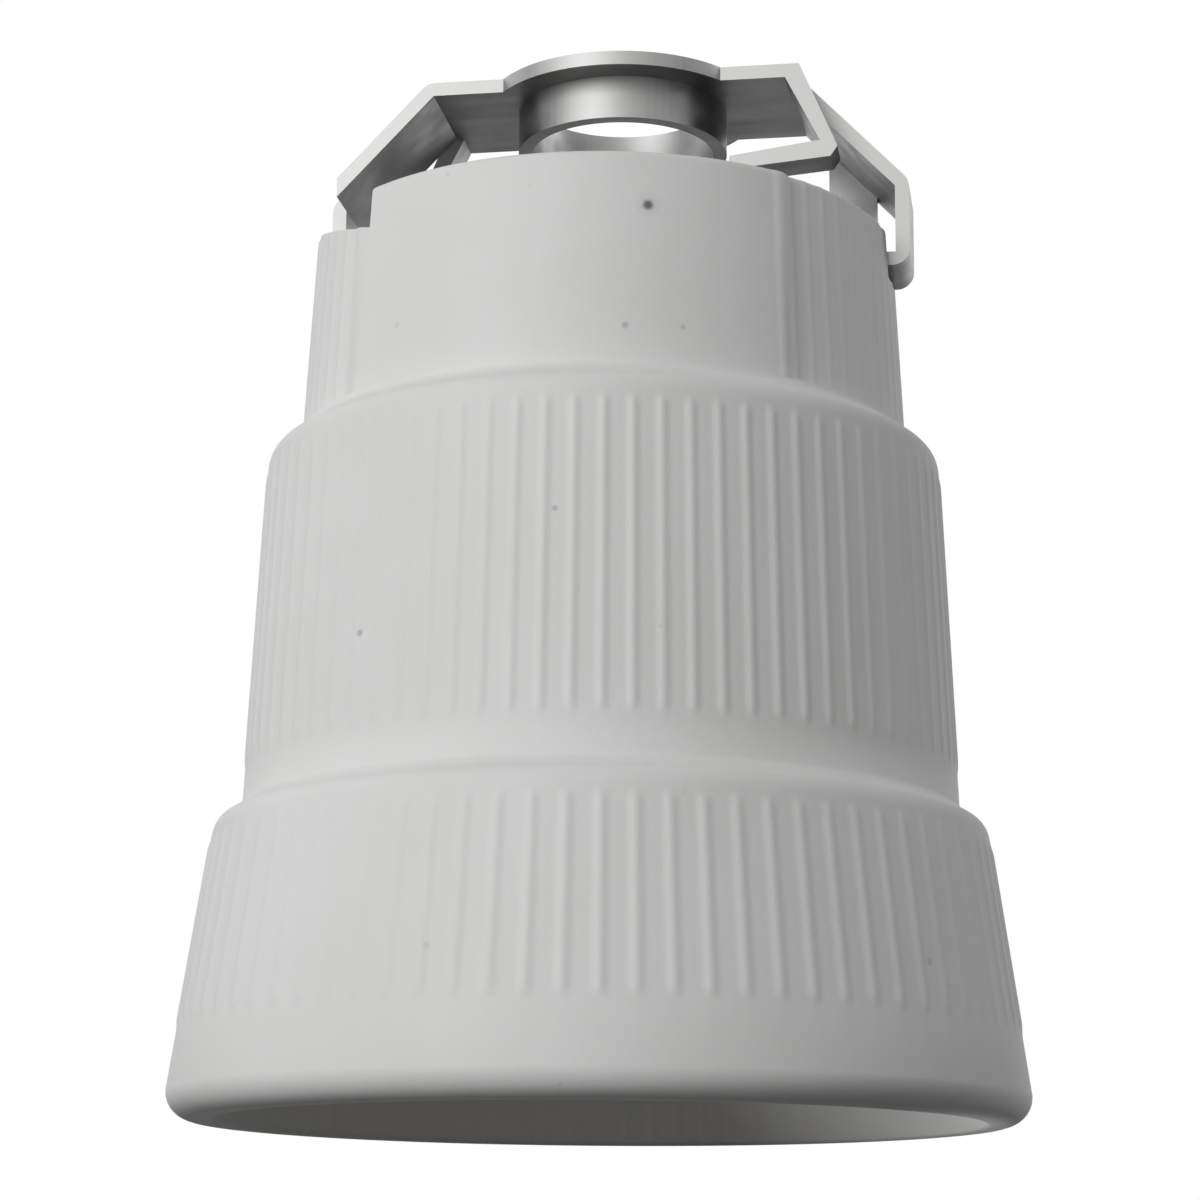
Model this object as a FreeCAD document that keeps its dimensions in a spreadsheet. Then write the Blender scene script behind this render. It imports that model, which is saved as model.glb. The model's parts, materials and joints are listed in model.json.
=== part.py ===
import FreeCAD, Part
import math
import os

import Sketcher

# Porcelain lamp holder for an E27 lamp, mouth down, with a folded steel bracket on top.
# Millimetres. The origin is the centre of the mouth rim's plane, +Z runs up the axis to the
# bracket, and the bracket spans the top along X.

SIZES = {
    # Outside of the porcelain: three tiers, each narrower than the one below
    "lip_radius": 23.5,
    "lip_round": 1.5,
    "skirt_height": 16.1,
    "skirt_taper": 2.1,
    "waist_step": 1.5,
    "waist_taper": 0.85,
    "neck_step": 1.55,
    "neck_taper": 0.6,
    "shoulder_rise": 0.9,
    "shoulder_chamfer": 0.9,
    "body_height": 50.0,
    "neck_height": 13.0,
    "rim_chamfer": 0.4,
    # Fine ribs on the two lower tiers
    "rib_count": 80,
    "rib_height": 0.28,
    "rib_angle": 1.5,
    "rib_run_out": 0.8,
    "skirt_rib_bottom": 4.6,
    "rib_margin_low": 2.0,
    "rib_margin_high": 0.9,
    # Inside of the porcelain
    "lip_wall": 2.6,
    "mouth_taper": 2.5,
    "mouth_depth": 12.2,
    "shell_clearance": 0.6,
    "web_height": 13.6,
    "well_radius": 4.2,
    "well_depth": 6.1,
    "terminal_depth": 6.0,
    "terminal_clearance": 0.4,
    # Side panels, tab slots and the wire notch of the top tier
    "panel_angle": 92.0,
    "panel_depth": 0.3,
    "slot_inset": 2.6,
    "slot_clearance": 0.4,
    "slot_depth": 2.9,
    "undercut_inset": 4.7,
    "undercut_height": 1.7,
    "notch_angle": 218.5,
    "notch_width": 6.2,
    "notch_depth": 1.9,
    "notch_reach": 3.6,
    "notch_tilt": 15.0,
    # Bracket, folded from one strip of sheet steel
    "sheet": 0.8,
    "bracket_rise": 9.4,
    "bracket_shift": 1.0,
    "strip_width": 9.2,
    "pad_radius": 7.8,
    "tab_inset": 0.9,
    "slope_run": 5.6,
    "corner_rise": 2.7,
    "tab_width": 4.4,
    "hook_depth": 2.1,
    "hook_length": 1.9,
    "bend_radius": 1.0,
    "collar_bore": 5.3,
    "collar_wall": 0.8,
    "collar_drop": 2.5,
    "slit_offset": 2.1,
    "slit_width": 0.25,
    "leg_run": 1.75,
    "leg_rise": 3.9,
    "leaf_inset": 9.2,
    "right_leaf_rise": 3.2,
    "left_leaf_rise": 4.7,
    "foot_inset": 1.4,
    "foot_width": 2.8,
    # Threaded shell that takes the lamp
    "thread_radius": 13.25,
    "shell_sheet": 0.35,
    "shell_lip": 1.2,
    "shell_flange_radius": 7.6,
    # Insulating disc and sprung centre contact
    "disc_thickness": 0.8,
    "plunger_radius": 2.6,
    "plunger_chamfer": 0.6,
    "plunger_clearance": 0.3,
    "plunger_reach": 3.2,
    "plunger_flange_radius": 3.8,
    "plunger_flange": 0.8,
    "plunger_post_radius": 1.7,
    "plunger_post": 1.4,
    "rest_gap": 0.05,
    "spring_radius": 2.7,
    "spring_wire": 0.45,
    "spring_turns": 4.0,
    "rivet_head_radius": 3.5,
    "rivet_head": 0.6,
    "rivet_radius": 1.2,
    "rivet_crown_radius": 2.0,
    "rivet_crown": 0.8,
    # Terminals and screws
    "terminal_sheet": 1.2,
    "arm_half": 2.3,
    "plate_half": 3.5,
    "plate_margin": 2.6,
    "fixing_x": 6.8,
    "fixing_y": 6.4,
    "fixing_radius": 1.5,
    "fixing_head_radius": 2.7,
    "fixing_head": 1.7,
    "fixing_end": 0.8,
    "hole_clearance": 0.2,
    "nut_width": 5.5,
    "nut_height": 2.4,
    "nut_recess_radius": 3.4,
    "clamp_screw_radius": 1.75,
    "clamp_screw_length": 6.0,
    "clamp_head_radius": 3.0,
    "clamp_head": 2.0,
    "clamp_half": 3.2,
    "clamp_sheet": 0.8,
    "lock_washer": 0.7,
    "lock_washer_width": 1.0,
    "lock_washer_split": 0.5,
    "driver_slot": 0.8,
    "driver_depth": 0.9,
    "neutral_screw_x": -1.6,
    "neutral_screw_y": 9.4,
    "line_screw_x": 4.0,
    "line_screw_y": -9.2,
}

doc = FreeCAD.newDocument("lamp_holder")
sheet = doc.addObject("Spreadsheet::Sheet", "Sizes")
for row, (alias, number) in enumerate(SIZES.items(), start=1):
    sheet.set("A%d" % row, alias)
    sheet.set("B%d" % row, str(number))
    sheet.setAlias("B%d" % row, alias)
doc.recompute()

nodes = {}


def bound(text):
    """A formula with the sheet's own names becomes an expression of the document."""
    words = []
    word = ""
    for letter in text + " ":
        if letter.isalnum() or letter == "_":
            word += letter
            continue
        words.append("Sizes." + word if word in SIZES else word)
        words.append(letter)
        word = ""
    return "".join(words).strip()


def value(text):
    return float(sheet.evalExpression(bound(text)))


def bind(feature, **formulas):
    for name, text in formulas.items():
        feature.setExpression(name, bound(text))
    return feature


def place(feature, x="0", y="0", z="0"):
    feature.setExpression("Placement.Base.x", bound(x))
    feature.setExpression("Placement.Base.y", bound(y))
    feature.setExpression("Placement.Base.z", bound(z))
    return feature


def new_body(name):
    return doc.addObject("PartDesign::Body", name)


def plane_of(body, role):
    for feature in body.Origin.OriginFeatures:
        if feature.Role == role:
            return feature


def outline(body, name, role, *loops):
    """A sketch on one of the body's planes, each corner tied to the sheet."""
    sketch = body.newObject("Sketcher::SketchObject", name)
    sketch.AttachmentSupport = (plane_of(body, role), [""])
    sketch.MapMode = "FlatFace"
    for loop in loops:
        add_loop(sketch, loop)
    return sketch


def add_loop(sketch, corners):
    points = [FreeCAD.Vector(value(x), value(y), 0) for x, y in corners]
    first = sketch.GeometryCount
    count = len(points)
    for index in range(count):
        sketch.addGeometry(Part.LineSegment(points[index], points[(index + 1) % count]), False)
    for index in range(count):
        here = first + index
        after = first + (index + 1) % count
        sketch.addConstraint(Sketcher.Constraint("Coincident", here, 2, after, 1))
        tie(sketch, here, "DistanceX", corners[index][0], -2)
        tie(sketch, here, "DistanceY", corners[index][1], -1)


def tie(sketch, line, kind, text, axis):
    if text == "0":
        sketch.addConstraint(Sketcher.Constraint("PointOnObject", line, 1, axis))
        return
    number = sketch.addConstraint(Sketcher.Constraint(kind, -1, 1, line, 1, value(text)))
    sketch.setExpression("Constraints[%d]" % number, bound(text))


def revolve(body, name, *loops, angle="360"):
    sketch = outline(body, name + "_outline", "XZ_Plane", *loops)
    feature = body.newObject("PartDesign::Revolution", name)
    feature.Profile = sketch
    feature.ReferenceAxis = (sketch, ["V_Axis"])
    feature.Midplane = True
    return bind(feature, Angle=angle)


def groove(body, name, *loops, angle="360"):
    sketch = outline(body, name + "_outline", "XZ_Plane", *loops)
    feature = body.newObject("PartDesign::Groove", name)
    feature.Profile = sketch
    feature.ReferenceAxis = (sketch, ["V_Axis"])
    feature.Midplane = True
    return bind(feature, Angle=angle)


def pad(body, name, role, length, *loops):
    sketch = outline(body, name + "_outline", role, *loops)
    feature = body.newObject("PartDesign::Pad", name)
    feature.Profile = sketch
    feature.SideType = "Symmetric"
    return bind(feature, Length=length)


def around(body, name, feature, count):
    """Copies of a feature, evenly round the axis."""
    pattern = body.newObject("PartDesign::PolarPattern", name)
    pattern.Originals = [feature]
    pattern.Axis = (plane_of(body, "Z_Axis"), [""])
    pattern.Angle = 360
    pattern.Occurrences = int(value(count))
    pattern.setExpression("Occurrences", bound(count))
    body.Tip = pattern
    return pattern


def cylinder(name, radius, bottom, top, x="0", y="0"):
    feature = doc.addObject("Part::Cylinder", name)
    bind(feature, Radius=radius, Height="(%s) - (%s)" % (top, bottom))
    return place(feature, x, y, bottom)


def block(name, x0, x1, y0, y1, z0, z1):
    feature = doc.addObject("Part::Box", name)
    bind(
        feature,
        Length="(%s) - (%s)" % (x1, x0),
        Width="(%s) - (%s)" % (y1, y0),
        Height="(%s) - (%s)" % (z1, z0),
    )
    return place(feature, x0, y0, z0)


def fuse(name, *shapes):
    feature = doc.addObject("Part::MultiFuse", name)
    feature.Shapes = list(shapes)
    return feature


def cut(name, base, *tools):
    tool = tools[0]
    if len(tools) > 1:
        tool = fuse(name + "_tools", *tools)
    feature = doc.addObject("Part::Cut", name)
    feature.Base = base
    feature.Tool = tool
    return feature


def common(name, first, second):
    feature = doc.addObject("Part::Common", name)
    feature.Base = first
    feature.Tool = second
    return feature


def fillet(name, base, radius, wanted):
    """Rounds the edges that wanted(edge) picks."""
    doc.recompute()
    feature = doc.addObject("Part::Fillet", name)
    feature.Base = base
    size = value(radius)
    picked = [
        (number, size, size)
        for number, edge in enumerate(base.Shape.Edges, start=1)
        if wanted(edge)
    ]
    feature.Edges = picked
    return feature


def keep(node, feature):
    feature.Label = node
    nodes[node] = feature
    return feature


# Radii and heights that several pieces share
SKIRT_TOP_R = "(lip_radius - skirt_taper)"
WAIST_BOTTOM_R = "(%s - waist_step)" % SKIRT_TOP_R
WAIST_TOP_R = "(%s - waist_taper)" % WAIST_BOTTOM_R
NECK_BOTTOM_R = "(%s - neck_step)" % WAIST_TOP_R
NECK_TOP_R = "(%s - neck_taper)" % NECK_BOTTOM_R
MOUTH_R = "(lip_radius - lip_wall)"
SHELL_R = "(thread_radius + shell_sheet)"
POCKET_R = "(%s + shell_clearance)" % SHELL_R
WAIST_BOTTOM = "(skirt_height + shoulder_rise)"
NECK_BOTTOM = "(body_height - neck_height + shoulder_rise)"
WAIST_TOP = "(body_height - neck_height)"
FLOOR = "(body_height - web_height)"
DISC_BOTTOM = "(%s - disc_thickness)" % FLOOR
FLANGE_BOTTOM = "(%s - shell_sheet)" % DISC_BOTTOM
WELL_TOP = "(%s + well_depth)" % FLOOR
TERMINAL_FLOOR = "(body_height - terminal_depth)"
TERMINAL_TOP = "(%s + terminal_sheet)" % TERMINAL_FLOOR
ABOVE = "(body_height + 1)"
BRACKET_TOP = "(body_height + bracket_rise)"
BRACKET_UNDER = "(%s - sheet)" % BRACKET_TOP
TAB_BOTTOM = "(body_height - hook_depth)"
TAB_HALF = "(%s - tab_inset)" % NECK_TOP_R
FLAT_HALF = "(%s - slope_run)" % TAB_HALF
CORNER = "(body_height + corner_rise)"
SIDES = {"right": "", "left": "-"}


def wall(bottom_radius, bottom, top_radius, top):
    """Radius of a tapered wall as a function of the height."""
    def radius(z):
        return "(%s + (%s - %s) * (%s - %s) / (%s - %s))" % (
            bottom_radius, top_radius, bottom_radius, z, bottom, top, bottom,
        )
    return radius


SKIRT_WALL = wall("lip_radius", "lip_round", SKIRT_TOP_R, "skirt_height")
WAIST_WALL = wall(WAIST_BOTTOM_R, WAIST_BOTTOM, WAIST_TOP_R, WAIST_TOP)


def rib_loop(radius, bottom, top):
    """Side view of one rib, from inside the wall to its crest, sloped at both ends."""
    low = "(%s + rib_run_out)" % bottom
    high = "(%s - rib_run_out)" % top
    return [
        (radius(bottom) + " - rib_height", bottom),
        (radius(bottom), bottom),
        (radius(low) + " + rib_height", low),
        (radius(high) + " + rib_height", high),
        (radius(top), top),
        (radius(top) + " - rib_height", top),
    ]


def shoulder(radius, top, next_radius, next_bottom):
    """A tier's chamfered shoulder and its slope down to the next tier's wall."""
    return [
        (radius("(%s - shoulder_chamfer)" % top), "%s - shoulder_chamfer" % top),
        (radius(top) + " - shoulder_chamfer / 2", top),
        (next_radius, next_bottom),
    ]


def make_porcelain():
    body = new_body("porcelain_turned")
    rounding = 1 - math.sqrt(0.5)
    revolve(body, "tiers", (
        [
            (MOUTH_R + " + rim_chamfer", "0"),
            ("lip_radius - lip_round", "0"),
            ("lip_radius - lip_round * %.4f" % rounding, "lip_round * %.4f" % rounding),
            ("lip_radius", "lip_round"),
        ]
        + shoulder(SKIRT_WALL, "skirt_height", WAIST_BOTTOM_R, WAIST_BOTTOM)
        + shoulder(WAIST_WALL, WAIST_TOP, NECK_BOTTOM_R, NECK_BOTTOM)
        + [
            (NECK_TOP_R, "body_height - rim_chamfer"),
            (NECK_TOP_R + " - rim_chamfer", "body_height"),
            ("0", "body_height"),
            ("0", WELL_TOP),
            ("well_radius", WELL_TOP),
            ("well_radius", FLOOR),
            (POCKET_R, FLOOR),
            (POCKET_R, "mouth_depth + rim_chamfer"),
            (POCKET_R + " + rim_chamfer", "mouth_depth"),
            (MOUTH_R + " - mouth_taper", "mouth_depth"),
            (MOUTH_R, "rim_chamfer"),
        ]
    ))
    doc.recompute()
    panel = groove(body, "panel", [
        (NECK_BOTTOM_R + " - panel_depth", NECK_BOTTOM + " + panel_depth"),
        (NECK_BOTTOM_R + " + panel_depth", NECK_BOTTOM + " + panel_depth"),
        (NECK_BOTTOM_R + " + panel_depth", ABOVE),
        (NECK_TOP_R + " - panel_depth", ABOVE),
    ], angle="panel_angle")
    around(body, "panels", panel, "2")
    ribs = revolve(
        body,
        "rib",
        rib_loop(SKIRT_WALL, "skirt_rib_bottom", "(skirt_height - rib_margin_high)"),
        rib_loop(
            WAIST_WALL, "(%s + rib_margin_low)" % WAIST_BOTTOM, "(%s - rib_margin_high)" % WAIST_TOP,
        ),
        angle="rib_angle",
    )
    around(body, "ribs", ribs, "rib_count")
    doc.recompute()
    tools = line_shape("chamber", "terminal_clearance", ABOVE)
    tools += neutral_shape("chamber", "terminal_clearance", ABOVE)
    tools.append(cylinder(
        "nut_recess", "nut_recess_radius", TERMINAL_FLOOR, ABOVE, "-fixing_x", "-fixing_y",
    ))
    tools.append(cylinder("rivet_hole", "rivet_radius + hole_clearance", FLOOR, "body_height"))
    for name, sign in (("neutral", ""), ("plain", "-")):
        tools.append(cylinder(
            name + "_fixing_hole", "fixing_radius + hole_clearance", FLOOR + " - 1",
            "body_height", sign + "fixing_x", sign + "fixing_y",
        ))
    screw_tip = TERMINAL_TOP + " + clamp_sheet + lock_washer - clamp_screw_length"
    for name in ("line", "neutral"):
        tools.append(cylinder(
            name + "_clamp_hole", "clamp_screw_radius + hole_clearance",
            screw_tip + " - hole_clearance", "body_height", name + "_screw_x", name + "_screw_y",
        ))
    tools += side_slots()
    tools.append(wire_notch())
    keep("porcelain_body", cut("porcelain", body, *tools))


def line_shape(name, grow, top):
    """Line terminal's plan, grown all round: a plate under the screw and an arm to the centre."""
    x, y = "line_screw_x", "line_screw_y"
    half = "(plate_half + %s)" % grow
    return [
        block("line_plate_" + name, "%s - %s" % (x, half), "%s + %s" % (x, half),
              "%s - %s" % (y, half), "%s + %s" % (y, half), TERMINAL_FLOOR, top),
        block("line_arm_" + name, "-arm_half - " + grow, "arm_half + " + grow,
              "%s + plate_half / 2 - %s" % (y, grow), "plate_margin + " + grow,
              TERMINAL_FLOOR, top),
    ]


def neutral_shape(name, grow, top):
    """Neutral terminal's plan, grown all round: plates under its two screws."""
    x, y = "neutral_screw_x", "neutral_screw_y"
    half = "(plate_half + %s)" % grow
    margin = "(plate_margin + %s)" % grow
    return [
        block("neutral_plate_" + name, "%s - %s" % (x, half), "%s + %s" % (x, half),
              "%s - %s" % (y, half), "%s + %s" % (y, half), TERMINAL_FLOOR, top),
        block("neutral_wing_" + name, x, "fixing_x + " + margin, "fixing_y - " + margin,
              "fixing_y + " + margin, TERMINAL_FLOOR, top),
    ]


def side_slots():
    """Slots for the bracket's tabs, with an undercut behind each for its hook."""
    half = "(tab_width / 2 + slot_clearance)"
    bottom = "(body_height - slot_depth)"
    far = "(%s + 1)" % NECK_BOTTOM_R
    slots = []
    for side, sign in SIDES.items():
        for part, inset, top in (
            ("slot", "slot_inset", ABOVE),
            ("undercut", "undercut_inset", bottom + " + undercut_height"),
        ):
            near = "(%s - %s)" % (NECK_TOP_R, inset)
            x0, x1 = (near, far) if side == "right" else ("-" + far, "-" + near)
            slots.append(block("%s_%s" % (side, part), x0, x1, "-" + half, half, bottom, top))
    return slots


def wire_notch():
    """One notch in the rim with a square wall at its front end and a rising floor."""
    notch = doc.addObject("Part::Box", "wire_notch")
    bind(
        notch,
        Length="notch_reach + 2",
        Width="notch_width",
        Height="notch_depth * 3",
    )
    turn = FreeCAD.Rotation(FreeCAD.Vector(0, 0, 1), value("notch_angle"))
    tilt = FreeCAD.Rotation(FreeCAD.Vector(1, 0, 0), value("notch_tilt"))
    corner = FreeCAD.Vector(value(NECK_TOP_R + " - notch_reach"), value("-notch_width / 2"), 0)
    spot = turn.multVec(corner)
    spot.z = value("body_height - notch_depth")
    notch.Placement = FreeCAD.Placement(spot, turn.multiply(tilt))
    return notch


def make_bracket():
    """Strip with a round pad and plunged collar; each end is slit into a slope and a leg."""
    slope = "atan((%s - %s) / slope_run)" % (BRACKET_UNDER, CORNER)
    half = [
        ("%s + sheet * tan((%s) / 2)" % (FLAT_HALF, slope), BRACKET_TOP),
        (TAB_HALF + " + sheet", "%s + sheet * tan(45 deg - (%s) / 2)" % (CORNER, slope)),
        (TAB_HALF + " + sheet", TAB_BOTTOM),
        (TAB_HALF + " - hook_length", TAB_BOTTOM),
        (TAB_HALF + " - hook_length", TAB_BOTTOM + " + sheet"),
        (TAB_HALF, TAB_BOTTOM + " + sheet"),
        (TAB_HALF, CORNER),
        (FLAT_HALF, BRACKET_UNDER),
    ]
    mirrored = [("-(%s)" % x, z) for x, z in reversed(half)]
    strip = new_body("bracket_strip")
    pad(strip, "strip_pad", "XZ_Plane", "pad_radius * 2 + 1", half + mirrored)
    bends = fillet("bracket_bends", strip, "bend_radius", is_bend)

    outer = "(%s + sheet + 1)" % TAB_HALF
    below, over = TAB_BOTTOM + " - 1", BRACKET_TOP + " + 1"
    plan = fuse(
        "bracket_plan",
        block("plan_strip", "-" + TAB_HALF, TAB_HALF, "-strip_width / 2", "strip_width / 2",
              CORNER + " - sheet", over),
        block("plan_tabs", "-" + outer, outer, "-tab_width / 2", "tab_width / 2", below, over),
        cylinder("plan_pad", "pad_radius", CORNER, over),
    )
    folded = common("folded_strip", bends, plan)
    slits = [
        block("right_slit", FLAT_HALF, outer, "-pad_radius", "-slit_offset", CORNER + " - sheet",
              over),
        block("left_slit", "-" + outer, "-" + FLAT_HALF, "slit_offset", "pad_radius",
              CORNER + " - sheet", over),
    ]
    slit_strip = cut("slit_strip", folded, *slits)

    collar_bottom = "(%s - collar_drop)" % BRACKET_UNDER
    collar = cylinder("collar", "collar_bore + collar_wall", collar_bottom,
                      BRACKET_UNDER + " + sheet / 2")
    bore = cylinder("collar_hole", "collar_bore", collar_bottom + " - 1", over)
    legs = [leg("right", "-"), leg("left", "")]
    whole = fuse("bracket_fused", slit_strip, collar, foot(), *legs)
    bracket = cut("bracket", whole, bore)
    place(bracket, "bracket_shift")
    keep("mounting_bracket", bracket)


def is_bend(edge):
    """Edges across the strip on its outer face, where the folds are rounded."""
    first, last = (vertex.Point for vertex in edge.Vertexes[:2])
    if abs(first.x - last.x) + abs(first.z - last.z) > 0.01:
        return False
    outside = abs(abs(first.x) - value(TAB_HALF + " + sheet")) < 0.01
    return outside or abs(first.z - value(BRACKET_TOP)) < 0.01


def leg(side, across):
    """Narrow part of a slit end: a steep leg from the fold, and a spring leaf back inward."""
    sign = SIDES[side]
    width = "(strip_width / 2 - slit_offset - slit_width)"
    knee_half = "(%s + leg_run)" % FLAT_HALF
    knee = "(body_height + leg_rise)"
    tip_half = "(%s - leaf_inset)" % TAB_HALF
    tip = "(body_height + %s_leaf_rise)" % side
    body = new_body(side + "_leg")
    pad(body, side + "_leg_pad", "XZ_Plane", width, [
        (sign + "(%s - sheet)" % FLAT_HALF, BRACKET_TOP),
        (sign + "(%s + sheet / 2)" % FLAT_HALF, BRACKET_TOP),
        (sign + "(%s + sheet)" % knee_half, knee + " + sheet / 2"),
        (sign + "(%s + sheet / 2)" % knee_half, knee + " - sheet / 4"),
        (sign + tip_half, tip),
        (sign + tip_half, tip + " + sheet"),
        (sign + "(%s - sheet / 4)" % knee_half, knee + " + sheet"),
        (sign + "(%s - sheet / 2)" % FLAT_HALF, BRACKET_UNDER),
        (sign + "(%s - sheet)" % FLAT_HALF, BRACKET_UNDER),
    ])
    return place(body, y="%s(slit_offset + slit_width + %s / 2)" % (across, width))


def foot():
    """Flange bent down from the rear edge of the right slope to the porcelain's top."""
    drop = "((%s - %s) / slope_run)" % (BRACKET_UNDER, CORNER)
    inner = "(%s + foot_inset)" % FLAT_HALF
    outer = "(%s + foot_width)" % inner
    body = new_body("foot")
    pad(body, "foot_pad", "XZ_Plane", "sheet", [
        (inner, "body_height"),
        (outer, "body_height"),
        (outer, "%s + sheet / 2 - (foot_inset + foot_width) * %s" % (BRACKET_UNDER, drop)),
        (inner, "%s + sheet / 2 - foot_inset * %s" % (BRACKET_UNDER, drop)),
    ])
    return place(body, y="(strip_width - sheet) / 2")


def make_shell():
    """Shell that takes the lamp, with an inward flange at the porcelain's floor."""
    body = new_body("shell")
    lip = "(mouth_depth + shell_lip)"
    revolve(body, "shell_tube", [
        ("thread_radius", lip),
        (SHELL_R, lip),
        (SHELL_R, DISC_BOTTOM),
        ("shell_flange_radius", DISC_BOTTOM),
        ("shell_flange_radius", FLANGE_BOTTOM),
        ("thread_radius", FLANGE_BOTTOM),
    ])
    holes = [
        cylinder(
            name + "_flange_hole", "fixing_radius + hole_clearance", FLANGE_BOTTOM + " - 1",
            DISC_BOTTOM + " + 1", sign + "fixing_x", sign + "fixing_y",
        )
        for name, sign in (("neutral", ""), ("plain", "-"))
    ]
    keep("screw_shell", cut("shell_drilled", body, *holes))


def make_disc():
    below, over = DISC_BOTTOM + " - 1", FLOOR + " + 1"
    disc = cylinder("disc_blank", SHELL_R, DISC_BOTTOM, FLOOR)
    holes = [cylinder("disc_bore", "plunger_radius + plunger_clearance", below, over)]
    for name, sign in (("neutral", ""), ("plain", "-")):
        holes.append(cylinder(
            name + "_disc_hole", "fixing_radius + hole_clearance", below, over,
            sign + "fixing_x", sign + "fixing_y",
        ))
    keep("insulating_disc", cut("disc", disc, *holes))


def make_contact():
    """Sprung centre contact: plunger, coil spring, and the rivet that seats the spring."""
    flange_bottom = "(%s + rest_gap)" % FLOOR
    flange_top = "(%s + plunger_flange)" % flange_bottom
    face = "(%s - plunger_reach)" % FLOOR
    body = new_body("plunger")
    revolve(body, "plunger_turned", [
        ("0", face),
        ("plunger_radius - plunger_chamfer", face),
        ("plunger_radius", face + " + plunger_chamfer"),
        ("plunger_radius", flange_bottom),
        ("plunger_flange_radius", flange_bottom),
        ("plunger_flange_radius", flange_top),
        ("plunger_post_radius", flange_top),
        ("plunger_post_radius", flange_top + " + plunger_post"),
        ("0", flange_top + " + plunger_post"),
    ])
    keep("contact_plunger", body)

    head_bottom = "(%s - rivet_head)" % WELL_TOP
    rivet = new_body("rivet")
    revolve(rivet, "rivet_turned", [
        ("0", head_bottom),
        ("rivet_head_radius", head_bottom),
        ("rivet_head_radius", WELL_TOP),
        ("rivet_radius", WELL_TOP),
        ("rivet_radius", TERMINAL_TOP),
        ("rivet_crown_radius", TERMINAL_TOP),
        ("rivet_crown_radius - rivet_crown / 2", TERMINAL_TOP + " + rivet_crown"),
        ("0", TERMINAL_TOP + " + rivet_crown"),
    ])
    keep("contact_rivet", rivet)
    keep("contact_spring", coil(flange_top, head_bottom))


def coil(bottom, top):
    """Compression spring between two heights; its wire has six flats."""
    wire = value("spring_wire") / 2
    height = value(top) - value(bottom) - 2 * wire
    helix = Part.makeHelix(height / value("spring_turns"), height, value("spring_radius"))
    corners = []
    for step in range(7):
        angle = math.radians(60 * step + 30)
        corners.append(FreeCAD.Vector(
            value("spring_radius") + wire * math.cos(angle), 0, wire * math.sin(angle),
        ))
    spring = doc.addObject("Part::Feature", "spring")
    spring.Shape = Part.Wire(helix).makePipeShell([Part.makePolygon(corners)], True, True)
    spring.Placement = FreeCAD.Placement(
        FreeCAD.Vector(0, 0, value(bottom) + wire), FreeCAD.Rotation(),
    )
    return spring


def make_terminals():
    for name, shape in (("line", line_shape), ("neutral", neutral_shape)):
        plate = fuse(name + "_blank", *shape("sheet", "0", TERMINAL_TOP))
        low, high = TERMINAL_FLOOR + " - 1", TERMINAL_TOP + " + 1"
        holes = [cylinder(name + "_thread", "clamp_screw_radius", low, high,
                          name + "_screw_x", name + "_screw_y")]
        if name == "line":
            holes.append(cylinder("line_rivet_hole", "rivet_radius", low, high))
        else:
            holes.append(cylinder("neutral_fixing_thread", "fixing_radius", low, high,
                                  "fixing_x", "fixing_y"))
        keep(name + "_terminal", cut(name + "_tapped", plate, *holes))
        make_clamp(name)


def lock_washer(name, radius, bottom, x, y):
    """Split spring washer round a screw of the given radius."""
    top = "(%s + lock_washer)" % bottom
    inner = "(%s + hole_clearance)" % radius
    outer = "(%s + lock_washer_width)" % inner
    ring = cylinder(name + "_ring", outer, bottom, top, x, y)
    hole = cylinder(name + "_hole", inner, bottom + " - 1", top + " + 1", x, y)
    split = block(
        name + "_split", x, "%s + %s + 1" % (x, outer), "%s - lock_washer_split / 2" % y,
        "%s + lock_washer_split / 2" % y, bottom + " - 1", top + " + 1",
    )
    keep(name, cut(name + "_cut", ring, hole, split))


def slotted(name, x, y, radius, bottom, top):
    """Tool that cuts a driver's slot across a screw head."""
    return block(
        name + "_driver_slot", "%s - %s - 1" % (x, radius), "%s + %s + 1" % (x, radius),
        "%s - driver_slot / 2" % y, "%s + driver_slot / 2" % y, bottom, top,
    )


def make_clamp(name):
    """Clamp screw, its spring washer and the square washer that holds the wire."""
    x, y = name + "_screw_x", name + "_screw_y"
    washer_top = "(%s + clamp_sheet)" % TERMINAL_TOP
    washer = block(
        name + "_washer_blank", x + " - clamp_half", x + " + clamp_half",
        y + " - clamp_half", y + " + clamp_half", TERMINAL_TOP, washer_top,
    )
    hole = cylinder(
        name + "_washer_hole", "clamp_screw_radius + hole_clearance", TERMINAL_TOP + " - 1",
        washer_top + " + 1", x, y,
    )
    keep(name + "_clamp_washer", cut(name + "_washer", washer, hole))
    lock_washer(name + "_lock_washer", "clamp_screw_radius", washer_top, x, y)

    seat = "(%s + lock_washer)" % washer_top
    head_top = "(%s + clamp_head)" % seat
    shank = cylinder(name + "_shank", "clamp_screw_radius", seat + " - clamp_screw_length",
                     seat, x, y)
    head = cylinder(name + "_head", "clamp_head_radius", seat, head_top, x, y)
    slot = slotted(name, x, y, "clamp_head_radius", head_top + " - driver_depth",
                   head_top + " + 1")
    keep(name + "_clamp_screw", cut(name + "_screw", fuse(name + "_stud", shank, head), slot))


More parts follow.
